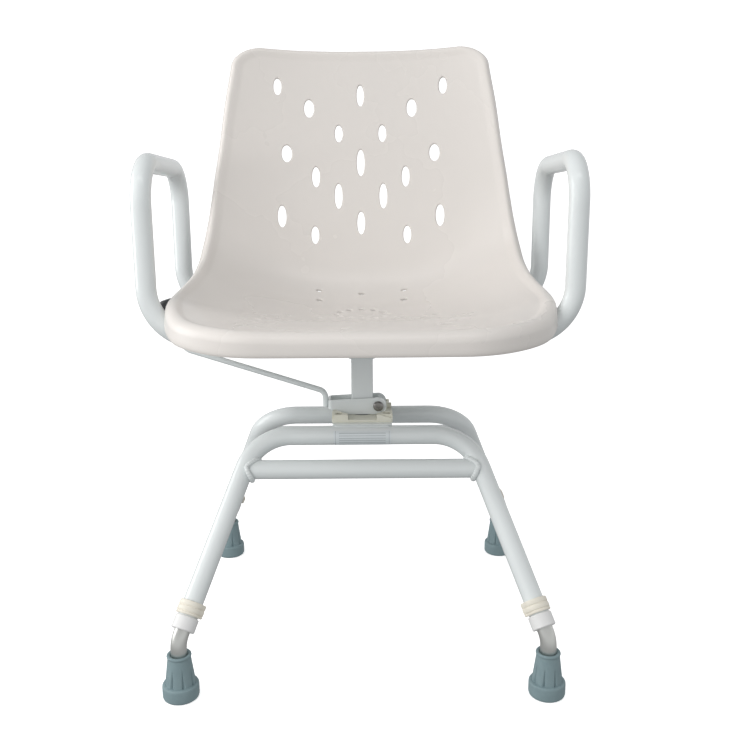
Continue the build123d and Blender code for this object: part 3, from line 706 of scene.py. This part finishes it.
def crossbar_beads():
    """Beads along the line where each crossbar meets the legs."""
    for end, label in ((-1, "front"), (1, "rear")):
        y = end * (HOOP_CORNER[1] + CROSSBAR_DROP * math.sin(LEG_TILT))
        z = HOOP_CORNER[2] - CROSSBAR_DROP * math.cos(LEG_TILT)
        for side, hand in ((-1, "left"), (1, "right")):
            corner, _, _, down = leg_frame(side, end, 0)
            loop = []
            for k in range(BEAD_STEPS):
                angle = 2 * math.pi * k / BEAD_STEPS
                on_bar = np.array([0, y + TUBE_R * math.cos(angle), z + TUBE_R * math.sin(angle)]) - corner
                # distance from the leg's axis equals the tube radius: quadratic in x
                axis_x = 1 - down[0] ** 2
                dot = np.dot(on_bar, down)
                b = on_bar[0] - dot * down[0]
                c = np.dot(on_bar, on_bar) - dot ** 2 - TUBE_R ** 2
                root = math.sqrt(max(0.0, b * b - axis_x * c) + BEAD_ROUNDING ** 2)
                x = (-b - side * root) / axis_x
                loop.append(np.array([x - side * BEAD_OFFSET, y + (TUBE_R + BEAD_LIFT) * math.cos(angle),
                                      z + (TUBE_R + BEAD_LIFT) * math.sin(angle)]))
            bead(f"weld_{label}_crossbar_{hand}", loop, 3.3, "base", ripple=0.2, pitch=3.4)


def rounded_loop(half_x, half_y, z, radius):
    """Closed level loop round a rectangle with rounded corners, centred on the swivel axis."""
    loop = []
    for k, (sx, sy) in enumerate(((1, 1), (-1, 1), (-1, -1), (1, -1))):
        for step in range(7):
            a = math.pi / 2 * (k + step / 6)
            loop.append(np.array([sx * (half_x - radius) + radius * math.cos(a),
                                  sy * (half_y - radius) + radius * math.sin(a), z]))
    return loop


RAIL_OUTER_X, ARM_WELD_Z, ARM_WELD_R = 108.6, 425.0, 13.4
ARM_END_Y = {"front": -110, "rear": 120}

crossbar_beads()
bead("weld_post_top", rounded_loop(16.2, 11.2, CROSS_Z - 1.1, 3), 2.2, "seat", ripple=0.2)
for side, hand in ((-1, "left"), (1, "right")):
    for end, y in ARM_END_Y.items():
        loop = [np.array([side * RAIL_OUTER_X, y + ARM_WELD_R * math.cos(a),
                          ARM_WELD_Z + ARM_WELD_R * math.sin(a)])
                for a in np.linspace(0, 2 * math.pi, 60, endpoint=False)]
        bead(f"weld_arm_{hand}_{end}", loop, 1.9, "seat", ripple=0.2)
for end, label in ((-1, "front"), (1, "rear")):
    loop = [np.array([x, end * (HOOP_CORNER[1] + 0.9), 300.6]) for x in np.linspace(-36, 36, 20)]
    loop += [np.array([x, end * (HOOP_CORNER[1] + 1.9), 300.4]) for x in np.linspace(36, -36, 20)]
    bead(f"weld_saddle_{label}", loop, 1.0, "base", ripple=0.25)


# ------------------------------------------------------------- stage, light and camera
FLOOR_GLOW = 0.62
SWEEP_Y, SWEEP_R, STAGE_HALF = 1.6, 1.6, 5.0


def stage_material():
    mat = material("studio", (0.93, 0.93, 0.93), 0.75, grain=40, bump=0.02, tint=(0.985, 0.985, 0.985),
                   tint_scale=1.5)
    shader = mat.node_tree.nodes["Principled BSDF"]
    shader.inputs["Emission Color"].default_value = (1, 1, 1, 1)
    shader.inputs["Emission Strength"].default_value = FLOOR_GLOW
    return mat


def build_stage():
    """Floor that sweeps up into a backdrop behind the chair."""
    rows = [(y, 0.0) for y in (-STAGE_HALF, -2.0, 0.0, SWEEP_Y)]
    rows += [(SWEEP_Y + SWEEP_R * math.sin(a), SWEEP_R - SWEEP_R * math.cos(a))
             for a in np.radians(np.linspace(6, 90, 15))]
    rows += [(SWEEP_Y + SWEEP_R, 3.0), (SWEEP_Y + SWEEP_R, 5.0)]
    vertices = [(x, y, z) for y, z in rows for x in (-STAGE_HALF, STAGE_HALF)]
    mesh = bpy.data.meshes.new("studio_floor")
    mesh.from_pydata(vertices, [], grid_faces(len(rows), 2))
    mesh.polygons.foreach_set("use_smooth", [True] * len(mesh.polygons))
    floor = bpy.data.objects.new("studio_floor", mesh)
    bpy.context.scene.collection.objects.link(floor)
    mesh.materials.append(stage_material())
    floor.visible_diffuse = False
    floor.visible_glossy = False


def area_light(name, location, target, size, power, colour=(1, 1, 1)):
    light = bpy.data.lights.new(name, "AREA")
    light.shape = "RECTANGLE"
    light.size, light.size_y = size
    light.energy = power
    light.color = colour
    obj = bpy.data.objects.new(name, light)
    bpy.context.scene.collection.objects.link(obj)
    obj.location = location
    obj.rotation_euler = (Vector(target) - Vector(location)).to_track_quat("-Z", "Y").to_euler()
    return obj


build_stage()
key = area_light("key", (-1.35, -1.25, 1.2), (-0.1, 0, 0.5), (1.2, 1.6), 18, (1.0, 0.985, 0.97))
fill = area_light("fill", (2.4, -1.4, 0.8), (0, 0, 0.4), (1.4, 1.8), 2, (0.96, 0.98, 1.0))
key.visible_glossy = fill.visible_glossy = False
area_light("top", (-0.1, -1.2, 2.6), (0, 0, 0.4), (2.4, 0.35), 5)
area_light("rear_left", (-2.4, 0.1, 1.0), (0, 0, 0.5), (1.4, 1.8), 16)

world = bpy.data.worlds.new("studio_world")
bpy.context.scene.world = world
world.use_nodes = True
sky_nodes, sky_links = world.node_tree.nodes, world.node_tree.links
sky_place = sky_nodes.new("ShaderNodeTexCoord")
sky_parts = sky_nodes.new("ShaderNodeSeparateXYZ")
sky_ramp = sky_nodes.new("ShaderNodeValToRGB")
sky_height = sky_nodes.new("ShaderNodeMapRange")
sky_height.inputs["From Min"].default_value = -1.0
sky_links.new(sky_place.outputs["Generated"], sky_parts.inputs["Vector"])
sky_links.new(sky_parts.outputs["Z"], sky_height.inputs["Value"])
sky_links.new(sky_height.outputs["Result"], sky_ramp.inputs["Fac"])
sky_links.new(sky_ramp.outputs["Color"], sky_nodes["Background"].inputs["Color"])
# sky grey by height: below, at and above the horizon
SKY_STOPS = [(0.25, 0.42), (0.52, 1.0), (0.85, 0.72)]
sky_ramp.color_ramp.elements.new(0.5)
for element, (height, grey) in zip(sky_ramp.color_ramp.elements, SKY_STOPS):
    element.position = height
    element.color = (grey * 0.985, grey * 0.995, grey, 1)
sky_nodes["Background"].inputs["Strength"].default_value = 0.76

CAMERA_PLACE = (0.0070, -1.1846, 0.6418)
CAMERA_PITCH, CAMERA_ROLL = 77.18, 0.45
CAMERA_LENS, CAMERA_SENSOR = 43.43, 36.0
scene = bpy.context.scene
scene.view_settings.view_transform = "Standard"
camera = bpy.data.cameras.new("camera")
camera.sensor_width = CAMERA_SENSOR
camera.lens = CAMERA_LENS
camera_object = bpy.data.objects.new("camera", camera)
scene.collection.objects.link(camera_object)
camera_object.location = CAMERA_PLACE
camera_object.rotation_euler = (math.radians(CAMERA_PITCH), math.radians(CAMERA_ROLL), 0)
scene.camera = camera_object
